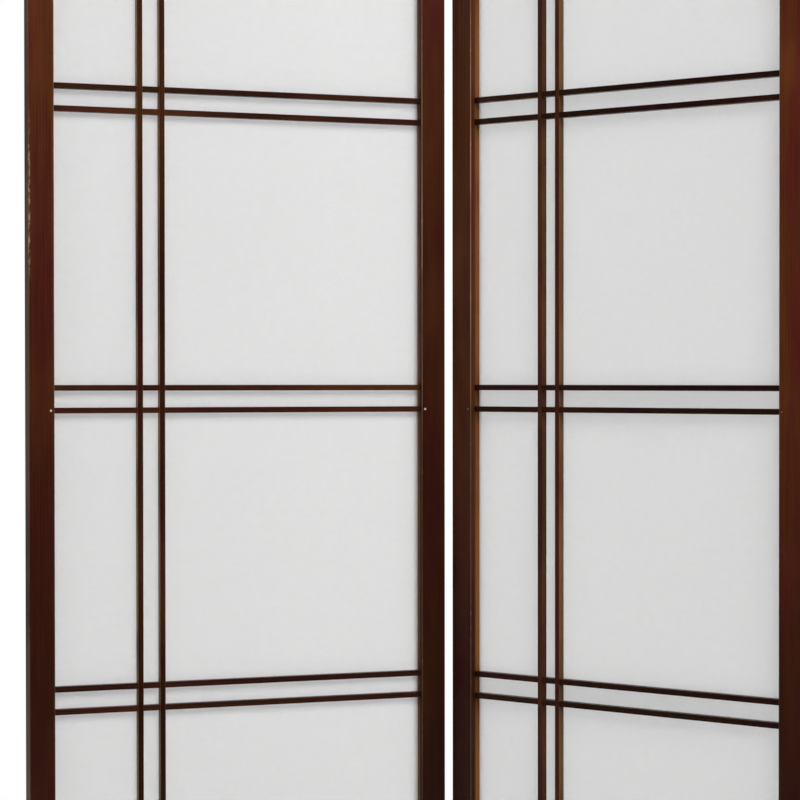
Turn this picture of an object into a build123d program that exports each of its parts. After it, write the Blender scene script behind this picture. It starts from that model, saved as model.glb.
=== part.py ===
from build123d import *
import os

# A three-panel folding screen: each panel is a slim wooden frame, a lattice of paired bars half-lapped
# together, and a paper sheet behind the lattice held by beads. Two-way hinges join the panels, so each
# fold line opens to the front about one pin and to the back about the other.
#
# Millimetres. +Z is up, the screen runs along X and its front faces -Y. The origin is on the floor at the
# middle of the middle panel.

# ---------------------------------------------------------------- driving dimensions: the panel
PANEL_WIDTH = 425.0
PANEL_HEIGHT = 1828.0
PANEL_THICKNESS = 19.0
STILE_WIDTH = 25.0
RAIL_HEIGHT = 25.0
FOOT_HEIGHT = 50.5                  # floor to the underside of the bottom rail
FOLD_ANGLE = 61.0                   # between two neighbouring panels, as the screen stands

# ---------------------------------------------------------------- the lattice
BAR_WIDTH = 5.5                     # seen from the front
BAR_DEPTH = 7.5
BAR_GAP = 16.5                      # clear space between the two bars of a pair
PAIR_COUNT = 5
LATTICE_FRONT = 6.0                 # depth of the bars' front behind the panel's front
CELL_SIZE = 265.0                   # the large square cells
SOCKET_DEPTH = 6.0                  # how far each bar's end runs into the frame
BAR_CHAMFER = 0.5

# ---------------------------------------------------------------- paper, rebate and beads
PAPER_THICKNESS = 0.4
PAPER_OVERLAP = 5.0                 # how far the paper reaches into the rebate
REBATE_WIDTH = 6.0
BEAD_CHAMFER = 1.2
BEAD_JOINT = 0.1                    # hairline left where a short bead meets a long one

# ---------------------------------------------------------------- frame joints and edges
TENON_LENGTH = 18.0
TENON_THICKNESS = 7.0
TENON_HEIGHT = 17.0
TENON_DEPTH = 8.5                   # the tenon's middle, behind the panel's front
MORTISE_SPARE = 0.5                 # room left at the bottom of a mortise
ARRIS_RADIUS = 0.9
FOOT_CHAMFER = 0.8

# ---------------------------------------------------------------- brads
BRAD_LENGTH = 12.0
BRAD_RADIUS = 0.6
BRAD_TIP = 1.5
BRAD_HEAD_RADIUS = 1.1
BRAD_HEAD_HEIGHT = 0.6
BRAD_HEAD_SUNK = 0.3                # of a front brad's head
BRAD_INSET = 3.5                    # a front brad's distance from the stile's inner edge
HOLE_SPARE = 0.02                   # radial room around a brad, a screw or a pin's fixed fit
SIDE_BEAD_BRADS = 6
END_BEAD_BRADS = 2

# ---------------------------------------------------------------- two-way hinges
HINGE_HEIGHT = 60.0
HINGE_CENTRES = {"lower": 208.0, "upper": 1670.5}
HINGE_GAP = 6.4                     # between two stiles when the screen is laid flat
PLATE = 1.5
PIN_STAND_OFF = 1.95                # pin axis in front of the panel's face
PIN_RADIUS = 1.5
PIN_PLAY = 0.05                     # radial running fit of the leaves on the pins
PIN_HEAD_RADIUS = 2.4
PIN_HEAD_HEIGHT = 1.2
END_PLAY = 0.15                     # between a pin's head and the knuckle under it
KNUCKLE_HEIGHT = 18.0               # each of a leaf's two knuckles
KNUCKLE_PLAY = 0.3                  # between a leaf's knuckle and the link's
PLATE_CLEARANCE = 3.6               # a plate stops this far short of the other pin's axis
PLATE_CORNER = 2.0

# ---------------------------------------------------------------- hinge screws
SCREW_LENGTH = 15.0
SCREW_RADIUS = 1.5
SCREW_TIP = 3.0
SCREW_HEAD_RADIUS = 3.0
SCREW_HEIGHTS = (9.0, 30.0, 51.0)   # above the hinge's lower end
SCREW_STAGGER = 3.0                 # to either side of the plate's middle
RECESS_LENGTH = 3.0
RECESS_WIDTH = 0.7
RECESS_DEPTH = 0.9

# ---------------------------------------------------------------- worked out from those
FRONT = -PANEL_THICKNESS / 2
BACK = PANEL_THICKNESS / 2
OPENING_WIDTH = PANEL_WIDTH - 2 * STILE_WIDTH
OPENING_BOTTOM = FOOT_HEIGHT + RAIL_HEIGHT
OPENING_TOP = PANEL_HEIGHT - RAIL_HEIGHT
OPENING_HEIGHT = OPENING_TOP - OPENING_BOTTOM
OPENING_CENTRE = (OPENING_TOP + OPENING_BOTTOM) / 2
BAR_SPACING = BAR_WIDTH + BAR_GAP
PAIR_HEIGHT = BAR_SPACING + BAR_WIDTH
LATTICE_CENTRE = FRONT + LATTICE_FRONT + BAR_DEPTH / 2
PAPER_FRONT = FRONT + LATTICE_FRONT + BAR_DEPTH
PAPER_BACK = PAPER_FRONT + PAPER_THICKNESS
BEAD_THICKNESS = BACK - PAPER_BACK
REBATE_DEPTH = BACK - PAPER_FRONT
BRAD_IN_FRAME = BRAD_LENGTH - REBATE_DEPTH
PANEL_PITCH = PANEL_WIDTH + HINGE_GAP
PIN_OFFSET = PANEL_THICKNESS / 2 + PIN_STAND_OFF
BARREL_RADIUS = HINGE_GAP / 2
PLATE_HALF = PIN_OFFSET - PLATE_CLEARANCE
LEAF_FACE = PLATE - HINGE_GAP / 2   # the leaf's face that looks at the link
LINK_KNUCKLE = HINGE_HEIGHT - 2 * (KNUCKLE_HEIGHT + KNUCKLE_PLAY)

CELL_COUNT = PAIR_COUNT + 1
PAIR_CENTRES = [
    OPENING_BOTTOM + k * CELL_SIZE + (k - 0.5) * PAIR_HEIGHT for k in range(1, CELL_COUNT)
]
NARROW_CELL = OPENING_WIDTH - CELL_SIZE - PAIR_HEIGHT
FIRST_UPRIGHT = NARROW_CELL + (BAR_WIDTH - OPENING_WIDTH) / 2
UPRIGHT_CENTRES = [FIRST_UPRIGHT, FIRST_UPRIGHT + BAR_SPACING]
CROSSBAR_CENTRES = [c + s * BAR_SPACING / 2 for c in PAIR_CENTRES for s in (-1, 1)]

STANDING = (Align.CENTER, Align.CENTER, Align.MIN)
HANGING = (Align.CENTER, Align.CENTER, Align.MAX)

# Front brads pin the ends of the lower bar of the middle pair.
PINNED_BAR = PAIR_CENTRES[PAIR_COUNT // 2] - BAR_SPACING / 2
FRONT_BRAD_X = OPENING_WIDTH / 2 + BRAD_INSET
FRONT_BRADS = [(s * FRONT_BRAD_X, PINNED_BAR) for s in (-1, 1)]

# Bead brads stand in the middle of each bead, clear of the bars' sockets.
BEAD_LINE = REBATE_WIDTH / 2
CELL_CENTRES = [
    OPENING_BOTTOM + (k + 0.5) * CELL_SIZE + k * PAIR_HEIGHT for k in range(SIDE_BEAD_BRADS)
]
SIDE_BRADS = [(s * (OPENING_WIDTH / 2 + BEAD_LINE), z) for s in (-1, 1) for z in CELL_CENTRES]
END_BRAD_X = OPENING_WIDTH / (END_BEAD_BRADS + 1) / 2
LOWER_BRADS = [(s * END_BRAD_X, OPENING_BOTTOM - BEAD_LINE) for s in (-1, 1)]
UPPER_BRADS = [(s * END_BRAD_X, OPENING_TOP + BEAD_LINE) for s in (-1, 1)]
BEAD_BRADS = SIDE_BRADS + LOWER_BRADS + UPPER_BRADS


# ---------------------------------------------------------------- frames of reference
def fold_about(pin_y):
    """The turn of one fold about the pin at pin_y, seen from the middle of the gap."""
    return Location((0, pin_y, 0)) * Location((0, 0, 0), (0, 0, FOLD_ANGLE)) * Location((0, -pin_y, 0))


# A panel's frame has X along its width, Y from front to back and its origin at its middle, on the floor.
TO_LEFT = Location((-PANEL_PITCH / 2, 0, 0))
TO_RIGHT = Location((PANEL_PITCH / 2, 0, 0))
MIDDLE = Location((0, 0, 0), (0, 0, -FOLD_ANGLE / 2))
PANELS = {
    "left": Plane(MIDDLE * TO_LEFT * fold_about(-PIN_OFFSET) * TO_LEFT),
    "middle": Plane(MIDDLE),
    "right": Plane(MIDDLE * TO_RIGHT * fold_about(PIN_OFFSET) * TO_RIGHT),
}


def gap_frame(panel, side):
    """The frame at the middle of the gap beside a panel, square to that panel. side -1 is left."""
    return Plane(PANELS[panel].location * (TO_RIGHT if side > 0 else TO_LEFT))


def turned(frame):
    """The same frame turned half a turn about its upright axis."""
    return Plane(frame.location * Location((0, 0, 0), (0, 0, 180)))


def depth_axis(frame):
    return Axis(frame.origin, frame.y_dir)


def width_axis(frame):
    return Axis(frame.origin, frame.x_dir)


def out_of_front(points, y):
    """Places at depth y and at each (x, z), whose own Z points out of the panel's front."""
    return [Location((x, y, z), (90, 0, 0)) for x, z in points]


def out_of_back(points, y):
    """The same, with Z pointing out of the panel's back."""
    return [Location((x, y, z), (-90, 0, 0)) for x, z in points]


def save(name, label):
    """Label a finished piece and write it."""
    name.part.label = label
    export_step(name.part, f"parts/{label}.step")


# ---------------------------------------------------------------- pieces of a panel
def make_stile(panel, side):
    """An upright of the frame, the full height of the panel. side -1 is the left one."""
    frame = PANELS[panel]
    inner = side * OPENING_WIDTH / 2
    outer = side * PANEL_WIDTH / 2
    in_wood = (Align.MIN if side > 0 else Align.MAX, Align.CENTER, Align.CENTER)
    with BuildPart(frame) as stile:
        with Locations((side * (PANEL_WIDTH - STILE_WIDTH) / 2, 0, 0)):
            Box(STILE_WIDTH, PANEL_THICKNESS, PANEL_HEIGHT, align=STANDING)
        fillet(stile.edges().filter_by(Axis.Z), ARRIS_RADIUS)
        chamfer(stile.faces().sort_by(Axis.Z)[0].edges(), FOOT_CHAMFER)
        # the rebate for the paper and the beads
        with Locations((inner, BACK - REBATE_DEPTH / 2, OPENING_CENTRE)):
            Box(REBATE_WIDTH, REBATE_DEPTH, OPENING_HEIGHT + 2 * REBATE_WIDTH,
                align=in_wood, mode=Mode.SUBTRACT)
        # blind mortises for the two rails
        with Locations(*[(inner, FRONT + TENON_DEPTH, z) for z in rail_centres()]):
            Box(TENON_LENGTH + MORTISE_SPARE, TENON_THICKNESS, TENON_HEIGHT,
                align=in_wood, mode=Mode.SUBTRACT)
        # sockets for the crossbars, open to the rebate
        with Locations(*[(inner, LATTICE_CENTRE, z) for z in CROSSBAR_CENTRES]):
            Box(SOCKET_DEPTH, BAR_DEPTH, BAR_WIDTH, align=in_wood, mode=Mode.SUBTRACT)
        # brads through the front into a crossbar's end, and from the back into the rebate's floor
        with Locations(*out_of_front([(x, z) for x, z in FRONT_BRADS if x * side > 0], FRONT)):
            CounterBoreHole(BRAD_RADIUS + HOLE_SPARE, BRAD_HEAD_RADIUS + HOLE_SPARE, BRAD_HEAD_SUNK,
                            depth=LATTICE_FRONT)
        with Locations(*out_of_back([(x, z) for x, z in SIDE_BRADS if x * side > 0], PAPER_FRONT)):
            Hole(BRAD_RADIUS + HOLE_SPARE, depth=BRAD_IN_FRAME)
        # pilot holes for the hinge screws, in the outer edge of a stile that carries hinges
        if (panel, side) in HINGED_EDGES:
            with Locations(*[Location((outer, side * y, z), (0, side * 90, 0)) for y, z in screw_points()]):
                Hole(SCREW_RADIUS + HOLE_SPARE, depth=SCREW_LENGTH - PLATE)
    save(stile, f"{panel}_panel_{'right' if side > 0 else 'left'}_stile")


def rail_centres():
    return FOOT_HEIGHT + RAIL_HEIGHT / 2, PANEL_HEIGHT - RAIL_HEIGHT / 2


def make_rail(panel, end):
    """A rail between the stiles. end -1 is the bottom rail, whose rebate is in its upper edge."""
    frame = PANELS[panel]
    centre = rail_centres()[0 if end < 0 else 1]
    edge = OPENING_BOTTOM if end < 0 else OPENING_TOP
    in_wood = (Align.CENTER, Align.CENTER, Align.MAX if end < 0 else Align.MIN)
    brads = LOWER_BRADS if end < 0 else UPPER_BRADS
    with BuildPart(frame) as rail:
        with Locations((0, 0, centre)):
            Box(OPENING_WIDTH, PANEL_THICKNESS, RAIL_HEIGHT)
        fillet(rail.edges().filter_by(width_axis(frame)), ARRIS_RADIUS)
        with Locations((0, FRONT + TENON_DEPTH, centre)):
            Box(OPENING_WIDTH + 2 * TENON_LENGTH, TENON_THICKNESS, TENON_HEIGHT)
        with Locations((0, BACK - REBATE_DEPTH / 2, edge)):
            Box(OPENING_WIDTH, REBATE_DEPTH, REBATE_WIDTH, align=in_wood, mode=Mode.SUBTRACT)
        with Locations(*[(x, LATTICE_CENTRE, edge) for x in UPRIGHT_CENTRES]):
            Box(BAR_WIDTH, BAR_DEPTH, SOCKET_DEPTH, align=in_wood, mode=Mode.SUBTRACT)
        with Locations(*out_of_back(brads, PAPER_FRONT)):
            Hole(BRAD_RADIUS + HOLE_SPARE, depth=BRAD_IN_FRAME)
    save(rail, f"{panel}_panel_{'bottom' if end < 0 else 'top'}_rail")


def make_upright(panel, number):
    """An upright lattice bar, whole at the front and notched behind for the crossbars."""
    frame = PANELS[panel]
    x = UPRIGHT_CENTRES[number - 1]
    with BuildPart(frame) as upright:
        with Locations((x, LATTICE_CENTRE, OPENING_CENTRE)):
            Box(BAR_WIDTH, BAR_DEPTH, OPENING_HEIGHT + 2 * SOCKET_DEPTH)
        chamfer(upright.edges().filter_by(Axis.Z).group_by(depth_axis(frame))[0], BAR_CHAMFER)
        with Locations(*[(x, LATTICE_CENTRE + BAR_DEPTH / 4, z) for z in CROSSBAR_CENTRES]):
            Box(BAR_WIDTH, BAR_DEPTH / 2, BAR_WIDTH, mode=Mode.SUBTRACT)
    save(upright, f"{panel}_panel_upright_{number}")


def make_crossbars(panel, number):
    """One pair of crossbars, notched at the front where the uprights pass."""
    frame = PANELS[panel]
    heights = [PAIR_CENTRES[number - 1] + s * BAR_SPACING / 2 for s in (-1, 1)]
    with BuildPart(frame) as pair:
        with Locations(*[(0, LATTICE_CENTRE, z) for z in heights]):
            Box(OPENING_WIDTH + 2 * SOCKET_DEPTH, BAR_DEPTH, BAR_WIDTH)
        chamfer(pair.edges().filter_by(width_axis(frame)).group_by(depth_axis(frame))[0], BAR_CHAMFER)
        with Locations(*[(x, LATTICE_CENTRE - BAR_DEPTH / 4, z) for x in UPRIGHT_CENTRES for z in heights]):
            Box(BAR_WIDTH, BAR_DEPTH / 2, BAR_WIDTH, mode=Mode.SUBTRACT)
        if PINNED_BAR in heights:
            with Locations(*out_of_front(FRONT_BRADS, FRONT + LATTICE_FRONT)):
                Hole(BRAD_RADIUS + HOLE_SPARE, depth=BRAD_LENGTH - LATTICE_FRONT)
    save(pair, f"{panel}_panel_crossbars_{number}")


def make_paper(panel):
    """The sheet behind the lattice, pierced by the bead brads."""
    with BuildPart(PANELS[panel]) as paper:
        with Locations((0, PAPER_FRONT + PAPER_THICKNESS / 2, OPENING_CENTRE)):
            Box(OPENING_WIDTH + 2 * PAPER_OVERLAP, PAPER_THICKNESS, OPENING_HEIGHT + 2 * PAPER_OVERLAP)
        with Locations(*out_of_back(BEAD_BRADS, PAPER_BACK)):
            Hole(BRAD_RADIUS + HOLE_SPARE, depth=PAPER_THICKNESS)
    save(paper, f"{panel}_panel_paper")


def make_beads(panel):
    """Four strips that fill the rebate behind the paper: two long ones at the sides, two between them."""
    frame = PANELS[panel]
    middle = BACK - BEAD_THICKNESS / 2
    side_x = OPENING_WIDTH / 2 + BEAD_LINE
    end_z = OPENING_HEIGHT / 2 + BEAD_LINE
    with BuildPart(frame) as beads:
        with Locations(*[(s * side_x, middle, OPENING_CENTRE) for s in (-1, 1)]):
            Box(REBATE_WIDTH, BEAD_THICKNESS, OPENING_HEIGHT + 2 * REBATE_WIDTH)
        with Locations(*[(0, middle, OPENING_CENTRE + s * end_z) for s in (-1, 1)]):
            Box(OPENING_WIDTH - 2 * BEAD_JOINT, BEAD_THICKNESS, REBATE_WIDTH)
        back_edges = beads.edges().group_by(depth_axis(frame))[-1]
        long_edges = back_edges.filter_by(lambda edge: edge.length > OPENING_WIDTH / 2)
        chamfer(long_edges.filter_by(Axis.Z).sort_by(width_axis(frame))[1:3], BEAD_CHAMFER)
        chamfer(long_edges.filter_by(width_axis(frame)).sort_by(Axis.Z)[1:3], BEAD_CHAMFER)
        with Locations(*out_of_back(BEAD_BRADS, BACK)):
            CounterBoreHole(BRAD_RADIUS + HOLE_SPARE, BRAD_HEAD_RADIUS + HOLE_SPARE, BRAD_HEAD_HEIGHT,
                            depth=BEAD_THICKNESS)
    save(beads, f"{panel}_panel_beads")


def make_brads(panel):
    """Every brad of a panel: two through the front, the rest through the beads."""
    at_front = out_of_front(FRONT_BRADS, FRONT + BRAD_HEAD_SUNK)
    at_back = out_of_back(BEAD_BRADS, BACK - BRAD_HEAD_HEIGHT)
    shank = BRAD_LENGTH - BRAD_HEAD_HEIGHT - BRAD_TIP
    with BuildPart(PANELS[panel]) as brads:
        with Locations(*at_front, *at_back):
            Cylinder(BRAD_HEAD_RADIUS, BRAD_HEAD_HEIGHT, align=STANDING)
            Cylinder(BRAD_RADIUS, shank, align=HANGING)
            with Locations((0, 0, -shank)):
                Cone(BRAD_RADIUS / 4, BRAD_RADIUS, BRAD_TIP, align=HANGING)
    save(brads, f"{panel}_panel_brads")


# ---------------------------------------------------------------- two-way hinges
# Each fold line: the panel on its left carries the leaf on the front pin, the panel on its right the leaf
# on the back pin, and a link joins the two pins. The links lie square to the middle panel.
LINES = {"left": ("left", "middle"), "right": ("middle", "right")}
HINGED_EDGES = [(pair[0], 1) for pair in LINES.values()] + [(pair[1], -1) for pair in LINES.values()]


def screw_points():
    """(y, z) of a leaf's screws, for the leaf on the front pin."""
    sides = (1, -1, 1)
    return [
        (side * SCREW_STAGGER, centre - HINGE_HEIGHT / 2 + height)
        for centre in HINGE_CENTRES.values()
        for side, height in zip(sides, SCREW_HEIGHTS)
    ]


def make_leaf(frame, level, label):
    """A leaf on the front pin. The leaf on the back pin is the same one, turned half a turn."""
    bottom = HINGE_CENTRES[level] - HINGE_HEIGHT / 2
    plate_x = -HINGE_GAP / 2
    knuckles = (bottom, bottom + HINGE_HEIGHT - KNUCKLE_HEIGHT)
    with BuildPart(frame) as leaf:
        with Locations((plate_x, 0, bottom)):
            Box(PLATE, 2 * PLATE_HALF, HINGE_HEIGHT, align=(Align.MIN, Align.CENTER, Align.MIN))
        corners = leaf.edges().filter_by(width_axis(frame)).group_by(depth_axis(frame))[-1]
        fillet(corners, PLATE_CORNER)
        with Locations(*[(plate_x, -PIN_OFFSET, z) for z in knuckles]):
            Box(PLATE, PIN_OFFSET, KNUCKLE_HEIGHT, align=(Align.MIN, Align.MIN, Align.MIN))
        with Locations(*[(0, -PIN_OFFSET, z) for z in knuckles]):
            Cylinder(BARREL_RADIUS, KNUCKLE_HEIGHT, align=STANDING)
            Cylinder(PIN_RADIUS + PIN_PLAY, KNUCKLE_HEIGHT, align=STANDING, mode=Mode.SUBTRACT)
        heights = [(y, z) for y, z in screw_points() if bottom < z < bottom + HINGE_HEIGHT]
        with Locations(*[Location((LEAF_FACE, y, z), (0, 90, 0)) for y, z in heights]):
            CounterSinkHole(SCREW_RADIUS + HOLE_SPARE, SCREW_HEAD_RADIUS + HOLE_SPARE,
                            depth=PLATE, counter_sink_angle=90)
    save(leaf, label)


def make_link(frame, level, label):
    """The plate between the two pins, with one knuckle on each."""
    bottom = HINGE_CENTRES[level] - HINGE_HEIGHT / 2
    middle = HINGE_CENTRES[level]
    with BuildPart(frame) as link:
        with Locations((0, 0, bottom)):
            Box(PLATE, 2 * PLATE_HALF, HINGE_HEIGHT, align=STANDING)
        fillet(link.edges().filter_by(width_axis(frame)), PLATE_CORNER)
        with Locations((0, 0, middle)):
            Box(PLATE, 2 * PIN_OFFSET, LINK_KNUCKLE)
        with Locations(*[(0, s * PIN_OFFSET, middle) for s in (-1, 1)]):
            Cylinder(BARREL_RADIUS, LINK_KNUCKLE)
            Cylinder(PIN_RADIUS + HOLE_SPARE, LINK_KNUCKLE, mode=Mode.SUBTRACT)
    save(link, label)


def make_pins(frame, label):
    """The four pins of a fold line, each with a button head at both ends."""
    shank = HINGE_HEIGHT + 2 * END_PLAY
    with BuildPart(frame) as pins:
        with Locations(*[(0, s * PIN_OFFSET, z) for s in (-1, 1) for z in HINGE_CENTRES.values()]):
            Cylinder(PIN_RADIUS, shank)
            with Locations((0, 0, shank / 2)):
                Cylinder(PIN_HEAD_RADIUS, PIN_HEAD_HEIGHT, align=STANDING)
            with Locations((0, 0, -shank / 2)):
                Cylinder(PIN_HEAD_RADIUS, PIN_HEAD_HEIGHT, align=HANGING)
        rims = pins.edges().filter_by(GeomType.CIRCLE).filter_by(lambda e: e.radius > PIN_RADIUS)
        ends = [rim for rim in rims if abs(abs(rim_height(rim)) - shank / 2) > PIN_HEAD_HEIGHT / 2]
        fillet(ends, PIN_HEAD_HEIGHT / 2)
    save(pins, label)


def rim_height(rim):
    """A rim's height above the middle of the nearest hinge."""
    offsets = [rim.center().Z - centre for centre in HINGE_CENTRES.values()]
    return min(offsets, key=abs)


def make_screws(frame, label):
    """The countersunk screws of the leaves on the front pin of a fold line."""
    head = SCREW_HEAD_RADIUS - SCREW_RADIUS
    shank = SCREW_LENGTH - head - SCREW_TIP
    with BuildPart(frame) as screws:
        with Locations(*[Location((LEAF_FACE, y, z), (0, 90, 0)) for y, z in screw_points()]):
            Cone(SCREW_RADIUS, SCREW_HEAD_RADIUS, head, align=HANGING)
            with Locations((0, 0, -head)):
                Cylinder(SCREW_RADIUS, shank, align=HANGING)
            with Locations((0, 0, -head - shank)):
                Cone(SCREW_RADIUS / 4, SCREW_RADIUS, SCREW_TIP, align=HANGING)
            Box(RECESS_LENGTH, RECESS_WIDTH, RECESS_DEPTH, align=HANGING, mode=Mode.SUBTRACT)
            Box(RECESS_WIDTH, RECESS_LENGTH, RECESS_DEPTH, align=HANGING, mode=Mode.SUBTRACT)
    save(screws, label)


# ---------------------------------------------------------------- the whole screen
os.makedirs("parts", exist_ok=True)

for panel in PANELS:
    for side in (-1, 1):
        make_stile(panel, side)
        make_rail(panel, side)
    for number in range(1, len(UPRIGHT_CENTRES) + 1):
        make_upright(panel, number)
    for number in range(1, PAIR_COUNT + 1):
        make_crossbars(panel, number)
    make_paper(panel)
    make_beads(panel)
    make_brads(panel)

for line, (left_hand, right_hand) in LINES.items():
    front_frame = gap_frame(left_hand, 1)
    back_frame = turned(gap_frame(right_hand, -1))
    link_frame = gap_frame("middle", -1 if line == "left" else 1)
    for level in HINGE_CENTRES:
        make_leaf(front_frame, level, f"{line}_hinge_{level}_front_leaf")
        make_leaf(back_frame, level, f"{line}_hinge_{level}_back_leaf")
        make_link(link_frame, level, f"{line}_hinge_{level}_link")
    make_pins(link_frame, f"{line}_hinge_pins")
    make_screws(front_frame, f"{line}_hinge_front_screws")
    make_screws(back_frame, f"{line}_hinge_back_screws")
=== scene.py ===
import math

import bpy
from mathutils import Euler, Matrix, Vector


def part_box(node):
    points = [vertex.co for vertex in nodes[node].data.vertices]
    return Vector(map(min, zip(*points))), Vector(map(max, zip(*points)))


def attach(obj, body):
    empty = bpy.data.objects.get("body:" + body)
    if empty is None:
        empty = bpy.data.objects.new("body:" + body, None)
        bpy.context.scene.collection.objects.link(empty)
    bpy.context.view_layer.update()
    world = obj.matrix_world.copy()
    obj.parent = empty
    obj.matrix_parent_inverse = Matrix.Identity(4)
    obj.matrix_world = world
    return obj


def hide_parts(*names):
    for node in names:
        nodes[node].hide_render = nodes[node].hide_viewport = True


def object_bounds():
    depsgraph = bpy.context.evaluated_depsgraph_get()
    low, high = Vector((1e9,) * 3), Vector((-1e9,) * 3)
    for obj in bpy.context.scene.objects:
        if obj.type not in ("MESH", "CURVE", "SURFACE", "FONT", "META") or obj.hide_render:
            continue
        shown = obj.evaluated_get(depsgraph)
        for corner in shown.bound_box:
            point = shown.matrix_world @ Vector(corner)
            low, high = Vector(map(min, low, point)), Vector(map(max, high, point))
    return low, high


# A folding screen of three panels: dark stained wood, white paper behind a lattice of paired bars, and
# two-way brass hinges. Metres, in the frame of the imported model: +Z up, the front faces -Y, origin on the
# floor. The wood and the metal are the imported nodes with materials; the three papers are made here.

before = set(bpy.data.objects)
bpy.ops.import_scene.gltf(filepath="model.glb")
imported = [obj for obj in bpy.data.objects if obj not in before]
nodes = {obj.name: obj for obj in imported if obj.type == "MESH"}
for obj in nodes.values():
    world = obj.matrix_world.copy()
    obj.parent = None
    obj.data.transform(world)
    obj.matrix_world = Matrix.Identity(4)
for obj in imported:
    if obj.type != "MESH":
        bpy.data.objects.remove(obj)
cad_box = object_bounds()

# ---------------------------------------------------------------- driving values
PANELS = ("left", "middle", "right")
HINGES = ("left", "right")
LATTICE_PAIRS = range(1, 6)
MM = 0.001

EYE = Vector((0.2844, -2.4667, 0.9584))
LOOK_LEFT = math.radians(8.002)
LOOK_DOWN = math.radians(0.732)
LENS_MM = 114.55
SHIFT = (-0.20, 0.015)              # no larger, so that the object stays in view from other angles

PAPER_STEP = 6 * MM                 # between the points of a paper's mesh
PAPER_SKIN = 0.25 * MM              # thickness of the paper itself
PAPER_BELLY = 0.7 * MM              # how far it stands back in the middle of a large cell
PAPER_RIPPLE = 0.18 * MM            # half the most that the ripple adds to that
PAPER_CLEAR = 0.05 * MM             # between it and the bars and frame that it lies behind
PAPER_THROUGH = 0.67                # share of the light that a face of the paper lets in
LARGE_CELL = 265 * MM               # the cell that has the whole belly


# ---------------------------------------------------------------- places, read from the frame
def panel_axes(panel):
    """The panel's own axes, from under its paper's middle: x across, y from front to back, z up."""
    face = max(nodes[f"{panel}_panel_paper"].data.polygons, key=lambda f: f.area)
    front = face.normal if face.normal.y < 0 else -face.normal
    low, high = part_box(f"{panel}_panel_paper")
    middle = (low + high) / 2
    turn = Matrix.Rotation(math.atan2(front.x, -front.y), 4, "Z")
    return Matrix.Translation((middle.x, middle.y, 0)) @ turn


def box_in(axes, node):
    """Lowest and highest corner of a node in a panel's own axes."""
    inverse = axes.inverted()
    points = [inverse @ v.co for v in nodes[node].data.vertices]
    low = Vector(min(p[i] for p in points) for i in range(3))
    high = Vector(max(p[i] for p in points) for i in range(3))
    return low, high


AXES = {panel: panel_axes(panel) for panel in PANELS}


# ---------------------------------------------------------------- node helpers
BUMP_STRENGTH = 0.6


def add(tree, kind, inputs=None, **settings):
    """Adds a node; an input that is a socket is linked, and any other is set."""
    made = tree.nodes.new(kind)
    for name, value in settings.items():
        setattr(made, name, value)
    for name, value in (inputs or {}).items():
        if isinstance(value, bpy.types.NodeSocket):
            tree.links.new(value, made.inputs[name])
        else:
            made.inputs[name].default_value = value
    return made


def maths(tree, operation, *values):
    return add(tree, "ShaderNodeMath", dict(enumerate(values)), operation=operation).outputs[0]


def spread(tree, value, low, high, to_low=0.0, to_high=1.0):
    """value from low to high, carried smoothly to to_low to to_high."""
    inputs = {"Value": value, "From Min": low, "From Max": high, "To Min": to_low, "To Max": to_high}
    return add(tree, "ShaderNodeMapRange", inputs, interpolation_type="SMOOTHSTEP").outputs["Result"]


def blend_colours(tree, factor, first, second, way="MIX"):
    made = add(tree, "ShaderNodeMix", data_type="RGBA", blend_type=way)
    for name, value in {"Factor_Float": factor, "A_Color": first, "B_Color": second}.items():
        socket = next(s for s in made.inputs if s.identifier == name)
        if isinstance(value, bpy.types.NodeSocket):
            tree.links.new(value, socket)
        else:
            socket.default_value = value
    return next(s for s in made.outputs if s.identifier == "Result_Color")


def noise(tree, vector, scale, detail=2.0, roughness=0.5, distortion=0.0):
    inputs = {"Vector": vector, "Scale": scale, "Detail": detail, "Roughness": roughness}
    inputs["Distortion"] = distortion
    return add(tree, "ShaderNodeTexNoise", inputs).outputs["Fac"]


def stretched(tree, vector, scale):
    return add(tree, "ShaderNodeMapping", {"Vector": vector, "Scale": scale}).outputs["Vector"]


def part_of(tree, vector, axis):
    """The X, Y or Z of a vector."""
    return add(tree, "ShaderNodeSeparateXYZ", {0: vector}).outputs[axis]


def gap_between(tree, first, second):
    return maths(tree, "ABSOLUTE", maths(tree, "SUBTRACT", first, second))


def bump(tree, height, distance, strength=BUMP_STRENGTH):
    inputs = {"Height": height, "Distance": distance, "Strength": strength}
    return add(tree, "ShaderNodeBump", inputs).outputs["Normal"]


def new_material(name):
    material = bpy.data.materials.new(name)
    material.use_nodes = True
    material.node_tree.nodes.clear()
    return material, material.node_tree


def own_coordinates(tree, axes, turned=None):
    """Coordinates in a panel's own axes, which ride with the panel; turned is a further turn of them."""
    turn = axes.to_3x3().inverted()
    place = -(turn @ axes.translation)
    if turned is not None:
        turn, place = turned @ turn, turned @ place
    here = add(tree, "ShaderNodeTexCoord").outputs["Object"]
    inputs = {"Vector": here, "Location": place, "Rotation": turn.to_euler("XYZ")}
    return add(tree, "ShaderNodeMapping", inputs).outputs["Vector"]


# ---------------------------------------------------------------- wood
ACROSS = Matrix.Rotation(math.radians(90), 3, "Y")    # lays the grain, which runs along z, along x

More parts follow.
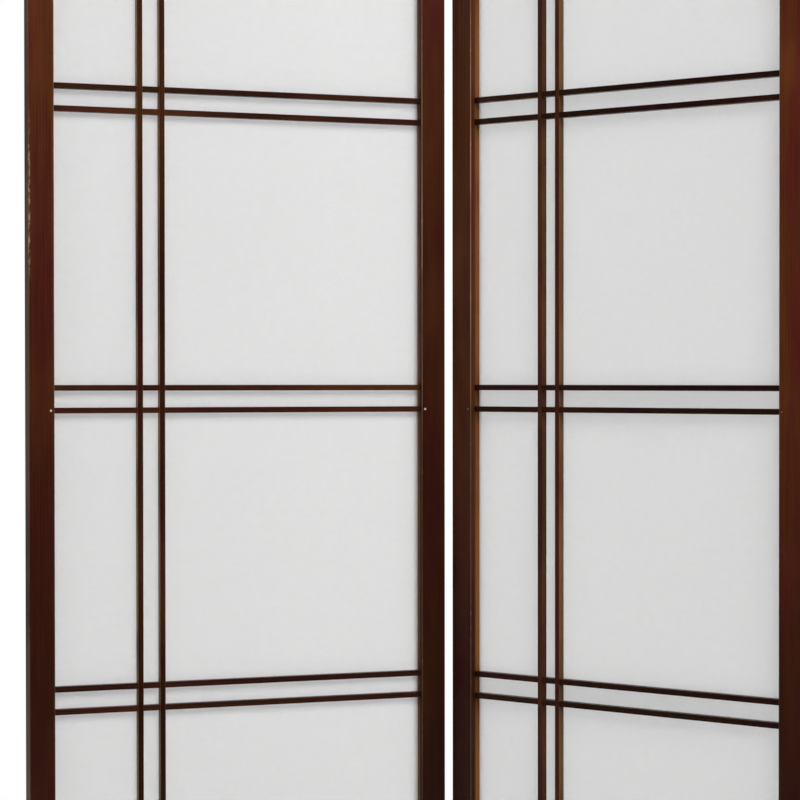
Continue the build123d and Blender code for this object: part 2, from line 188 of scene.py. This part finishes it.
FRAME_STAIN = {
    "deep": (0.052, 0.0100, 0.0040, 1),
    "warm": (0.086, 0.0180, 0.0065, 1),
    "light": (0.118, 0.0290, 0.0100, 1),
    # paled: on the faces round the paper, painted light that the paper throws back onto them
    "paled": (0.190, 0.0740, 0.0190, 1),
    "bare": (0.360, 0.2450, 0.1500, 1),
}
UPRIGHT_STAIN = {
    "deep": (0.024, 0.0055, 0.0026, 1),
    "warm": (0.048, 0.0105, 0.0042, 1),
    "light": (0.085, 0.0240, 0.0085, 1),
    "paled": (0.240, 0.1500, 0.0720, 1),
}
CROSSBAR_STAIN = {
    "deep": (0.011, 0.0036, 0.0018, 1),
    "warm": (0.027, 0.0075, 0.0032, 1),
    "light": (0.054, 0.0150, 0.0050, 1),
}
REDDER = (0.98, 0.74, 1.22, 1)          # the stain varies between these two hues
BROWNER = (1.04, 1.34, 0.92, 1)
VARNISH_TINT = (1.0, 0.42, 0.26, 1)     # the stain in the varnish colours what it mirrors

# Painted light from above: the wood is painted darker downwards, in place of overhead light that falls off.
# A fade is the two heights between which it does, and the share of the tone that is left at the lower one.
PAINTED_SHADE_FOOT, PAINTED_LIGHT_HEAD = 0.50, 1.35
NO_PAINTED_TOPLIGHT = (PAINTED_SHADE_FOOT, PAINTED_LIGHT_HEAD, 1.0)
FRAME_PAINTED_TOPLIGHT = (PAINTED_SHADE_FOOT, PAINTED_LIGHT_HEAD, 0.32)
BOARD_PAINTED_TOPLIGHT = {"middle_panel_right_stile": (0.55, 1.05, 0.25)}
BOARD_TONE = {                          # boards that took more or less stain than the rest
    "left_panel_left_stile": 1.02,
    "left_panel_right_stile": 0.72,
    "middle_panel_right_stile": 1.56,
    "right_panel_left_stile": 1.10,
    "right_panel_right_stile": 0.90,
}
# The share left is what the painted light from above leaves of the tone at the foot.
UPRIGHT_TONE = {"left": (0.92, 0.50), "middle": (1.30, 0.85), "right": (1.1, 0.70)}    # and the share left
SIDE_PALED = {"left": (1.0, 1.0), "middle": (0.08, 0.36), "right": (0.5, 0.4)}          # on upright 1 and 2
CROSSBAR_TONE = {"left": 1.25, "middle": 0.80, "right": 1.0}

GRIP_HEIGHT = 1.13                      # where hands have worn the edges most
FREE_SIDES = {"left_panel_left_stile": 0, "right_panel_right_stile": 1}     # 0 the low-x side, 1 the high-x

# Noises in the wood: cells per metre across the grain, and how drawn out they are along it.
FIBRES = (2100.0, 0.018)
STREAKS = (230.0, 0.03)
PORES = (1500.0, 0.06)
HUES = (60.0, 0.10)
BLOTCHES = (11.0, 0.4)
SCUFFS = (420.0, 0.35)
RUBBED_SCALE = 9.0
SIDE_PATCHES, REVEAL_PATCHES, FREE_PATCHES = 8.0, 6.0, 7.0
# Depths between which the painted light off the paper rises on the faces round it, from nothing to full.
BOUNCE_START, BOUNCE_FULL = -8.5 * MM, -4.5 * MM      # from the paper's middle; the front is at -13.7 mm

RING_PITCH = 2.6 * MM
RING_STRETCH = 0.05
HEART = Vector((0.043, 0.061, 0.0))     # where the heart of the tree would be, off every board


def edge_distance(tree, coordinates, low, high):
    """How far a point of a board's surface is from its nearest edge, as a socket, in metres."""
    middle, half = (low + high) / 2, (high - low) / 2
    apart = add(tree, "ShaderNodeVectorMath", {0: coordinates, 1: middle}, operation="SUBTRACT").outputs[0]
    size = add(tree, "ShaderNodeVectorMath", {0: apart}, operation="ABSOLUTE").outputs[0]
    inside = add(tree, "ShaderNodeVectorMath", {0: half, 1: size}, operation="SUBTRACT").outputs[0]
    x, y, z = add(tree, "ShaderNodeSeparateXYZ", {0: inside}).outputs
    least = maths(tree, "MINIMUM", maths(tree, "MINIMUM", x, y), z)
    most = maths(tree, "MAXIMUM", maths(tree, "MAXIMUM", x, y), z)
    total = maths(tree, "ADD", maths(tree, "ADD", x, y), z)
    return maths(tree, "SUBTRACT", maths(tree, "SUBTRACT", total, least), most)


def from_opening(tree, own, panel):
    """How far a point of the frame is from the opening that the paper fills: 0 on the faces round it."""
    left = box_in(AXES[panel], f"{panel}_panel_left_stile")[1]
    right = box_in(AXES[panel], f"{panel}_panel_right_stile")[0]
    foot = box_in(AXES[panel], f"{panel}_panel_bottom_rail")[1]
    head = box_in(AXES[panel], f"{panel}_panel_top_rail")[0]
    x, _, z = add(tree, "ShaderNodeSeparateXYZ", {0: own}).outputs
    beside = maths(tree, "MAXIMUM", maths(tree, "SUBTRACT", left.x, x), maths(tree, "SUBTRACT", x, right.x))
    beyond = maths(tree, "MAXIMUM", maths(tree, "SUBTRACT", foot.z, z), maths(tree, "SUBTRACT", z, head.z))
    return maths(tree, "MAXIMUM", beside, beyond)


def patches(tree, own, scale, least):
    """Long soft patches, from least to 1: of painted light round the paper, of pale bar sides and of wear.
    """
    return spread(tree, noise(tree, own, scale), 0.35, 0.6, least, 1.0)


def on_sides(tree, own, low, high):
    """1 on the side faces of an upright bar, and 0 elsewhere."""
    middle, half = (low.x + high.x) / 2, (high.x - low.x) / 2
    away = gap_between(tree, part_of(tree, own, "X"), middle)
    return spread(tree, away, half - 0.35 * MM, half - 0.15 * MM)


def drawn_out(tree, grain, kind, detail, roughness, distortion=0.0):
    """One of the noises above, drawn out along the grain."""
    scale, along = kind
    return noise(tree, stretched(tree, grain, (1, 1, along)), scale, detail, roughness, distortion)


def figured_wood(tree, grain, stain):
    """Rings, fibres, streaks and open pores: their colour, roughness and height."""
    rings = add(
        tree,
        "ShaderNodeTexWave",
        {
            "Vector": stretched(tree, grain, (1, 1, RING_STRETCH)),
            "Scale": 2 * math.pi / 20 / RING_PITCH,
            "Distortion": 5.0,
            "Detail": 3.0,
            "Detail Scale": 0.25,
            "Detail Roughness": 0.55,
        },
        wave_type="RINGS",
        rings_direction="Z",
        wave_profile="SAW",
    ).outputs["Fac"]
    fibres = drawn_out(tree, grain, FIBRES, 4.0, 0.6)
    streaks = drawn_out(tree, grain, STREAKS, 3.0, 0.55)
    pores = spread(tree, drawn_out(tree, grain, PORES, 1.0, 0.5), 0.34, 0.27)
    blotches = drawn_out(tree, grain, BLOTCHES, 3.0, 0.55, 0.4)
    hues = drawn_out(tree, grain, HUES, 2.0, 0.5)

    figure = maths(tree, "MULTIPLY_ADD", rings, 0.22, maths(tree, "MULTIPLY", fibres, 0.42))
    figure = maths(tree, "MULTIPLY_ADD", streaks, 0.50, figure)
    colour = blend_colours(tree, spread(tree, figure, 0.40, 0.70), stain["deep"], stain["warm"])
    colour = blend_colours(tree, spread(tree, blotches, 0.42, 0.75), colour, stain["light"])
    hue = blend_colours(tree, spread(tree, hues, 0.36, 0.64), REDDER, BROWNER)
    colour = blend_colours(tree, 1.0, colour, hue, "MULTIPLY")
    colour = blend_colours(tree, maths(tree, "MULTIPLY", pores, 0.55), colour, stain["deep"])
    roughness = maths(tree, "MULTIPLY_ADD", fibres, 0.16, 0.33)
    height = maths(tree, "MULTIPLY_ADD", pores, -0.8, maths(tree, "MULTIPLY", fibres, 0.5))
    return colour, roughness, height


def paled_sides(tree, own, upright, share, stain, colour, roughness):
    """The side faces of an upright bar are made paler, in patches."""
    faces = on_sides(tree, own, *upright)
    paled = maths(tree, "MULTIPLY", faces, patches(tree, own, SIDE_PATCHES, 0.35))
    paled = maths(tree, "MULTIPLY", paled, share)
    colour = blend_colours(tree, paled, colour, stain["paled"])
    return colour, maths(tree, "MULTIPLY_ADD", faces, 0.35, roughness)


def painted_bounce_reveal(tree, own, apart, stain, colour, roughness):
    """Painted light thrown back by the paper: the faces round it are paler, in patches, from midway back to
    it.
    """
    faces = spread(tree, apart, 0.3 * MM, 0.1 * MM)
    deep = spread(tree, part_of(tree, own, "Y"), BOUNCE_START, BOUNCE_FULL)
    paled = maths(tree, "MULTIPLY", faces, deep)
    paled = maths(tree, "MULTIPLY", paled, patches(tree, own, REVEAL_PATCHES, 0.5))
    colour = blend_colours(tree, paled, colour, stain["paled"])
    return colour, maths(tree, "MULTIPLY_ADD", faces, 0.50, roughness)


def edge_wear(tree, own, apart, board, free_x):
    """How bare the wood is: rubbed and chipped along its edges, most at hand height."""
    from_edge = edge_distance(tree, own, *board)
    from_grip = gap_between(tree, part_of(tree, own, "Z"), GRIP_HEIGHT)
    near = spread(tree, from_edge, 1.1 * MM, 0.25 * MM)
    grip = spread(tree, from_grip, 0.26, 0.05, 0.12, 1.0)
    scuffs = drawn_out(tree, own, SCUFFS, 5.0, 0.7)
    rubbed = noise(tree, own, RUBBED_SCALE)
    chips = spread(tree, maths(tree, "MULTIPLY_ADD", rubbed, 0.5, scuffs), 0.82, 0.97)
    inner = maths(tree, "MULTIPLY", spread(tree, apart, 2.2 * MM, 1.3 * MM, 0.25, 0.75), grip)
    paler = maths(tree, "MULTIPLY_ADD", spread(tree, rubbed, 0.30, 0.55, 0.35, 1.0), inner, 0.08)
    chipped = maths(tree, "MULTIPLY", chips, spread(tree, grip, 0.2, 1.0, 0.35, 0.8))
    wear = maths(tree, "MULTIPLY", near, maths(tree, "ADD", chipped, paler))
    if free_x is None:
        return wear

    from_side = gap_between(tree, part_of(tree, own, "X"), free_x)
    outer = spread(tree, from_side, 0.9 * MM, 0.2 * MM)
    outer = maths(tree, "MULTIPLY", outer, patches(tree, own, FREE_PATCHES, 0.25))
    wear = maths(tree, "MAXIMUM", wear, maths(tree, "MULTIPLY", outer, 0.42))
    arris = spread(tree, from_edge, 2.6 * MM, 0.9 * MM)
    arris = maths(tree, "MULTIPLY", arris, spread(tree, from_side, 3.2 * MM, 2.0 * MM))
    knocks = spread(tree, scuffs, 0.46, 0.56)
    knocks = maths(tree, "MULTIPLY", knocks, spread(tree, from_grip, 0.10, 0.03))
    return maths(tree, "MAXIMUM", wear, maths(tree, "MULTIPLY", arris, knocks))


def wood(
    name,
    stain,
    panel,
    seed,
    along_x=False,
    tone=1.0,
    fade=NO_PAINTED_TOPLIGHT,
    board=None,
    free_x=None,
    upright=None,
    sides=0.0,
):
    """Stained wood, with its grain along z, or along x if along_x.

    tone is its brightness, and fade says how that falls downwards, as painted light from above. board is
    the box of a frame board, whose edges are worn and whose faces round the paper are painted paler for the
    light that the paper throws back, and free_x is the x of its outer side where that is rubbed pale and
    chipped. upright is the box of a lattice bar, and sides says how much paler its side faces are made.
    """
    material, tree = new_material(name)
    own = own_coordinates(tree, AXES[panel])
    grain = own_coordinates(tree, AXES[panel], ACROSS) if along_x else own
    shifted = Vector((0.0137 * (seed % 7), 0.0091 * (seed % 5), 0.311 * seed)) + HEART
    grain = add(tree, "ShaderNodeVectorMath", {0: grain, 1: shifted}, operation="ADD").outputs[0]

    colour, roughness, height = figured_wood(tree, grain, stain)
    # Painted light from above: the colour is multiplied darker towards the foot.
    foot, head, left = fade
    painted_toplight = spread(tree, part_of(tree, own, "Z"), foot, head, left * tone, tone)
    colour = blend_colours(tree, 1.0, colour, painted_toplight, "MULTIPLY")
    if upright:
        colour, roughness = paled_sides(tree, own, upright, sides, stain, colour, roughness)
    if board:
        apart = from_opening(tree, own, panel)
        colour, roughness = painted_bounce_reveal(tree, own, apart, stain, colour, roughness)
        wear = edge_wear(tree, own, apart, board, free_x)
        colour = blend_colours(tree, wear, colour, stain["bare"])
        roughness = maths(tree, "MULTIPLY_ADD", wear, 0.25, roughness)
        height = maths(tree, "MULTIPLY_ADD", wear, -0.6, height)
    shader = add(
        tree,
        "ShaderNodeBsdfPrincipled",
        {
            "Base Color": colour,
            "Roughness": roughness,
            "Specular IOR Level": 0.16,
            "Specular Tint": VARNISH_TINT,
            "Coat Weight": 0.10,
            "Coat Roughness": 0.18,
            "Normal": bump(tree, height, 0.05 * MM),
        },
    )
    add(tree, "ShaderNodeOutputMaterial", {"Surface": shader.outputs[0]})
    return material


# ---------------------------------------------------------------- metal
SPECK = (0.03, 0.022, 0.015, 1)
EVEN = (1, 1, 1)                        # how far the brushed lines are drawn out in x, y and z
ALONG_Z = (1, 1, 0.01)
ALONG_XY = (0.05, 0.05, 1)


def metal(name, bright, dull, roughness, brushed, specks):
    """Metal with fine lines, drawn out as brushed says, dull patches and small dark specks."""
    material, tree = new_material(name)
    here = add(tree, "ShaderNodeTexCoord").outputs["Object"]
    lines = noise(tree, stretched(tree, here, brushed), 5200.0, 3.0, 0.6)
    clouds = noise(tree, here, 140.0, 4.0, 0.6, 0.6)
    spots = spread(tree, noise(tree, here, 900.0, 3.0, 0.6), 0.33, 0.25)
    tarnish = spread(tree, clouds, 0.36, 0.70)
    colour = blend_colours(tree, tarnish, bright, dull)
    colour = blend_colours(tree, maths(tree, "MULTIPLY", spots, specks), colour, SPECK)
    rough = maths(tree, "MULTIPLY_ADD", lines, 0.16, roughness - 0.08)
    rough = maths(tree, "MULTIPLY_ADD", tarnish, 0.14, rough)
    shader = add(
        tree,
        "ShaderNodeBsdfPrincipled",
        {
            "Base Color": colour,
            "Roughness": rough,
            "Metallic": 1.0,
            "Normal": bump(tree, lines, 0.012 * MM),
        },
    )
    add(tree, "ShaderNodeOutputMaterial", {"Surface": shader.outputs[0]})
    return material


# ---------------------------------------------------------------- paper
PULP_DARK = (0.920, 0.920, 0.920, 1)
PULP_LIGHT = (0.962, 0.962, 0.962, 1)
STRAND = (0.985, 0.983, 0.975, 1)
STRAND_RUNS = ((0.5, 26.0), (1.7, 34.0), (2.6, 21.0))    # the turn and the scale of each run of long fibres


def paper_material(name, panel, seed):
    """White screen paper: soft cloudy pulp with long fine fibres, which lets light through."""
    material, tree = new_material(name)
    own = own_coordinates(tree, AXES[panel])
    placed = add(tree, "ShaderNodeVectorMath", {0: own, 1: (0.37 * seed, 0, 0.19 * seed)}, operation="ADD")
    placed = placed.outputs[0]
    clouds = noise(tree, placed, 130.0, 4.0, 0.65)
    grit = noise(tree, placed, 900.0, 3.0, 0.6)
    strands = None
    for turn, scale in STRAND_RUNS:
        inputs = {"Vector": placed, "Rotation": (0, turn, 0), "Scale": (1, 1, 0.35)}
        mapped = add(tree, "ShaderNodeMapping", inputs).outputs["Vector"]
        away = gap_between(tree, noise(tree, mapped, scale, 1.0, 0.4, 1.4), 0.5)
        strand = spread(tree, away, 0.0045, 0.0005)
        strands = strand if strands is None else maths(tree, "MAXIMUM", strands, strand)
    strands = maths(tree, "MULTIPLY", strands, spread(tree, noise(tree, placed, 38.0, 1.0), 0.45, 0.62))
    tone = maths(tree, "MULTIPLY_ADD", clouds, 0.4, maths(tree, "MULTIPLY", grit, 0.6))
    colour = blend_colours(tree, spread(tree, tone, 0.3, 0.7), PULP_DARK, PULP_LIGHT)
    colour = blend_colours(tree, maths(tree, "MULTIPLY", strands, 0.30), colour, STRAND)
    height = maths(tree, "MULTIPLY_ADD", strands, 0.5, maths(tree, "MULTIPLY", grit, 0.6))
    relief = bump(tree, height, 0.05 * MM)
    shader = add(
        tree,
        "ShaderNodeBsdfPrincipled",
        {"Base Color": colour, "Roughness": 0.82, "Specular IOR Level": 0.15, "Normal": relief},
    )
    through = add(tree, "ShaderNodeBsdfTranslucent", {"Color": colour, "Normal": relief})
    both = add(tree, "ShaderNodeMixShader", {0: PAPER_THROUGH, 1: shader.outputs[0], 2: through.outputs[0]})
    add(tree, "ShaderNodeOutputMaterial", {"Surface": both.outputs[0]})
    return material


def slack(place, stops):
    """0 where the paper lies on a bar or the frame and 1 midway between two, with that gap's width."""
    for low, high in zip(stops[:-1], stops[1:]):
        if low[1] <= place <= high[0]:
            gap = high[0] - low[1]
            return math.sin(math.pi * (place - low[1]) / gap) ** 2, gap
    return 0.0, 0.0


def ripple(x, z, seed):
    """A slow crossing ripple, from 0 to 2, different in each panel."""
    return 1 + math.sin(31 * x + 9 * z + seed) * math.sin(13 * z - 17 * x + 2.3 * seed)


def make_paper(panel, seed):
    """One sheet of paper, behind the lattice and held in the rebate by the beads."""
    axes = AXES[panel]
    prefix = f"{panel}_panel_"
    low, high = box_in(axes, prefix + "paper")
    uprights = [box_in(axes, prefix + f"upright_{k}") for k in (1, 2)]
    sides = [box_in(axes, prefix + f"{side}_stile") for side in ("left", "right")]
    columns = [(b[0].x, b[1].x) for b in (sides[0], *uprights, sides[1])]
    bar = uprights[0][1].x - uprights[0][0].x
    ends = [box_in(axes, prefix + f"{end}_rail") for end in ("bottom", "top")]
    rows = [(ends[0][0].z, ends[0][1].z)]
    for k in LATTICE_PAIRS:
        foot, head = box_in(axes, prefix + f"crossbars_{k}")
        rows += [(foot.z, foot.z + bar), (head.z - bar, head.z)]
    rows.append((ends[1][0].z, ends[1][1].z))

    across = round((high.x - low.x) / PAPER_STEP)
    up = round((high.z - low.z) / PAPER_STEP)
    front, back = [], []
    for j in range(up + 1):
        z = low.z + (high.z - low.z) * j / up
        rise, tall = slack(z, rows)
        for i in range(across + 1):
            x = low.x + (high.x - low.x) * i / across
            swell, wide = slack(x, columns)
            cell = min(wide, tall) / LARGE_CELL
            loose = PAPER_BELLY * cell + PAPER_RIPPLE * ripple(x, z, seed)
            y = low.y + swell * rise * loose + PAPER_CLEAR
            front.append(axes @ Vector((x, y, z)))
            back.append(axes @ Vector((x, y + PAPER_SKIN, z)))
    row = across + 1
    count = len(front)
    faces = []
    for j in range(up):
        for i in range(across):
            a = j * row + i
            faces.append((a, a + 1, a + row + 1, a + row))
            faces.append((count + a, count + a + row, count + a + row + 1, count + a + 1))
    rim = list(range(across)) + [j * row + across for j in range(up)]
    rim += [up * row + i for i in range(across, 0, -1)] + [j * row for j in range(up, 0, -1)]
    for a, b in zip(rim, rim[1:] + rim[:1]):
        faces.append((b, a, count + a, count + b))

    mesh = bpy.data.meshes.new(prefix + "sheet")
    mesh.from_pydata(front + back, [], faces)
    for polygon in mesh.polygons[: 2 * up * across]:
        polygon.use_smooth = True
    sheet = bpy.data.objects.new(prefix + "sheet", mesh)
    bpy.context.scene.collection.objects.link(sheet)
    mesh.materials.append(paper_material(prefix + "paper_look", panel, seed))
    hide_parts(prefix + "paper")
    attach(sheet, f"{panel}_panel")
    rests = [f"{prefix}{n}" for n in ("left_stile", "right_stile", "top_rail", "bottom_rail")]
    rests += [f"{prefix}upright_{k}" for k in (1, 2)]
    rests += [f"{prefix}crossbars_{k}" for k in LATTICE_PAIRS]


# ---------------------------------------------------------------- what each node is made of
def dress(node, *materials):
    """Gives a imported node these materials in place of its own."""
    mesh = nodes[node].data
    mesh.materials.clear()
    for material in materials:
        mesh.materials.append(material)


def dress_beads(panel, seed):
    """The four beads are one node: the long ones have upright grain and the short ones level grain."""
    node = f"{panel}_panel_beads"
    upright = wood(node + "_upright_look", UPRIGHT_STAIN, panel, seed)
    level = wood(node + "_level_look", UPRIGHT_STAIN, panel, seed + 1, along_x=True)
    dress(node, upright, level)
    low = box_in(AXES[panel], f"{panel}_panel_bottom_rail")[1]
    high = box_in(AXES[panel], f"{panel}_panel_top_rail")[0]
    for polygon in nodes[node].data.polygons:
        polygon.material_index = int(not low.z < polygon.center.z < high.z)


def dress_panel(panel, seed):
    prefix = f"{panel}_panel_"
    for k, side in enumerate(("left_stile", "right_stile")):
        node = prefix + side
        board = box_in(AXES[panel], node)
        free = FREE_SIDES.get(node)
        look = wood(
            node + "_look",
            FRAME_STAIN,
            panel,
            seed + k,
            tone=BOARD_TONE.get(node, 1.0),
            fade=BOARD_PAINTED_TOPLIGHT.get(node, FRAME_PAINTED_TOPLIGHT),
            board=board,
            free_x=None if free is None else board[free].x,
        )
        dress(node, look)
    for k, end in enumerate(("top_rail", "bottom_rail")):
        node = prefix + end
        board = box_in(AXES[panel], node)
        look = wood(
            node + "_look", FRAME_STAIN, panel, seed + 3 + k, along_x=True, fade=FRAME_PAINTED_TOPLIGHT, board=board
        )
        dress(node, look)
    tone, left = UPRIGHT_TONE[panel]
    for k in (1, 2):
        node = prefix + f"upright_{k}"
        look = wood(
            node + "_look",
            UPRIGHT_STAIN,
            panel,
            seed + 5 + k,
            tone=tone,
            fade=(PAINTED_SHADE_FOOT, PAINTED_LIGHT_HEAD, left),
            upright=box_in(AXES[panel], node),
            sides=SIDE_PALED[panel][k - 1],
        )
        dress(node, look)
    level = wood(
        prefix + "crossbar_look", CROSSBAR_STAIN, panel, seed + 8, along_x=True, tone=CROSSBAR_TONE[panel]
    )
    for k in LATTICE_PAIRS:
        dress(prefix + f"crossbars_{k}", level)
    dress_beads(panel, seed + 10)
    make_paper(panel, seed)


def dress_hinges():
    leaf = metal("hinge_look", (0.62, 0.44, 0.19, 1), (0.36, 0.235, 0.095, 1), 0.30, ALONG_Z, 0.6)
    pin = metal("pin_look", (0.68, 0.50, 0.24, 1), (0.45, 0.31, 0.14, 1), 0.24, EVEN, 0.4)
    screw = metal("screw_look", (0.66, 0.48, 0.22, 1), (0.38, 0.25, 0.10, 1), 0.26, ALONG_XY, 0.5)
    for line in HINGES:
        for height in ("upper", "lower"):
            dress(f"{line}_hinge_{height}_link", leaf)
            for face in ("front", "back"):
                dress(f"{line}_hinge_{height}_{face}_leaf", leaf)
        dress(f"{line}_hinge_pins", pin)
        for face in ("front", "back"):
            dress(f"{line}_hinge_{face}_screws", screw)
    bare = metal("brad_look", (0.95, 0.94, 0.92, 1), (0.70, 0.69, 0.67, 1), 0.40, EVEN, 0.2)
    stained = metal("stained_brad_look", (0.30, 0.19, 0.13, 1), (0.13, 0.06, 0.035, 1), 0.34, EVEN, 0.3)
    for panel in PANELS:
        dress(f"{panel}_panel_brads", bare if panel == "left" else stained)


# ---------------------------------------------------------------- camera, floor and light
def make_camera():
    data = bpy.data.cameras.new("camera")
    data.sensor_width = 36.0
    data.lens = LENS_MM
    data.shift_x, data.shift_y = SHIFT
    camera = bpy.data.objects.new("camera", data)
    camera.location = EYE
    camera.rotation_euler = Euler((math.radians(90) - LOOK_DOWN, 0, LOOK_LEFT))
    bpy.context.scene.collection.objects.link(camera)
    bpy.context.scene.camera = camera


FLOOR_RADIUS = 3.0
FLOOR_DARK = (0.78, 0.78, 0.775, 1)
FLOOR_LIGHT = (0.81, 0.81, 0.805, 1)
WHITE = (1, 1, 1, 1)
SOFT_LIGHT = 0.14                       # strength of the white room round the screen


def make_floor():
    """A pale round floor that fades into the white background before its rim."""
    material, tree = new_material("floor_look")
    here = add(tree, "ShaderNodeTexCoord").outputs["Object"]
    away = add(tree, "ShaderNodeVectorMath", {0: here}, operation="LENGTH").outputs["Value"]
    mottle = noise(tree, here, 6.0, 3.0)
    colour = blend_colours(tree, mottle, FLOOR_DARK, FLOOR_LIGHT)
    inputs = {"Base Color": colour, "Roughness": 0.7, "Specular IOR Level": 0.2}
    matte = add(tree, "ShaderNodeBsdfPrincipled", inputs)
    glow = add(tree, "ShaderNodeEmission", {"Color": WHITE, "Strength": 1.0})
    fade = spread(tree, away, 0.5 * FLOOR_RADIUS, 0.96 * FLOOR_RADIUS)
    both = add(tree, "ShaderNodeMixShader", {0: fade, 1: matte.outputs[0], 2: glow.outputs[0]})
    add(tree, "ShaderNodeOutputMaterial", {"Surface": both.outputs[0]})
    bpy.ops.mesh.primitive_circle_add(vertices=96, radius=FLOOR_RADIUS, fill_type="NGON")
    floor = bpy.context.object
    floor.name = "floor"
    floor.data.materials.append(material)


def area_light(name, place, aim, size, watts, tint=(1.0, 1.0, 1.0)):
    data = bpy.data.lights.new(name, "AREA")
    data.shape = "RECTANGLE"
    data.size, data.size_y = size
    data.energy = watts
    data.color = tint
    light = bpy.data.objects.new(name, data)
    light.location = place
    light.rotation_euler = (Vector(place) - Vector(aim)).to_track_quat("Z", "Y").to_euler()
    light.visible_camera = False
    bpy.context.scene.collection.objects.link(light)


def make_light():
    middle = (cad_box[0] + cad_box[1]) / 2
    area_light("key", (1.8, -2.7, 3.9), middle, (2.2, 2.2), 150.0, (1.0, 0.997, 0.992))
    area_light("edge", (-2.3, -2.9, 1.6), middle, (0.5, 1.8), 5.6, (0.985, 0.992, 1.0))
    area_light("back", (0.2, 3.2, 2.2), middle, (3.4, 2.6), 103.0)
    world = bpy.data.worlds.new("studio")
    world.use_nodes = True
    tree = world.node_tree
    tree.nodes.clear()
    path = add(tree, "ShaderNodeLightPath")
    soft = add(tree, "ShaderNodeBackground", {"Color": WHITE, "Strength": SOFT_LIGHT})
    seen = add(tree, "ShaderNodeBackground", {"Color": WHITE, "Strength": 1.0})
    both = add(
        tree,
        "ShaderNodeMixShader",
        {0: path.outputs["Is Camera Ray"], 1: soft.outputs[0], 2: seen.outputs[0]},
    )
    add(tree, "ShaderNodeOutputWorld", {"Surface": both.outputs[0]})
    bpy.context.scene.world = world
    bpy.context.scene.view_settings.view_transform = "Standard"


make_camera()
make_floor()
make_light()
for number, name in enumerate(PANELS):
    dress_panel(name, 20 * number + 3)       # a seed of its own, so that no two panels are alike
dress_hinges()
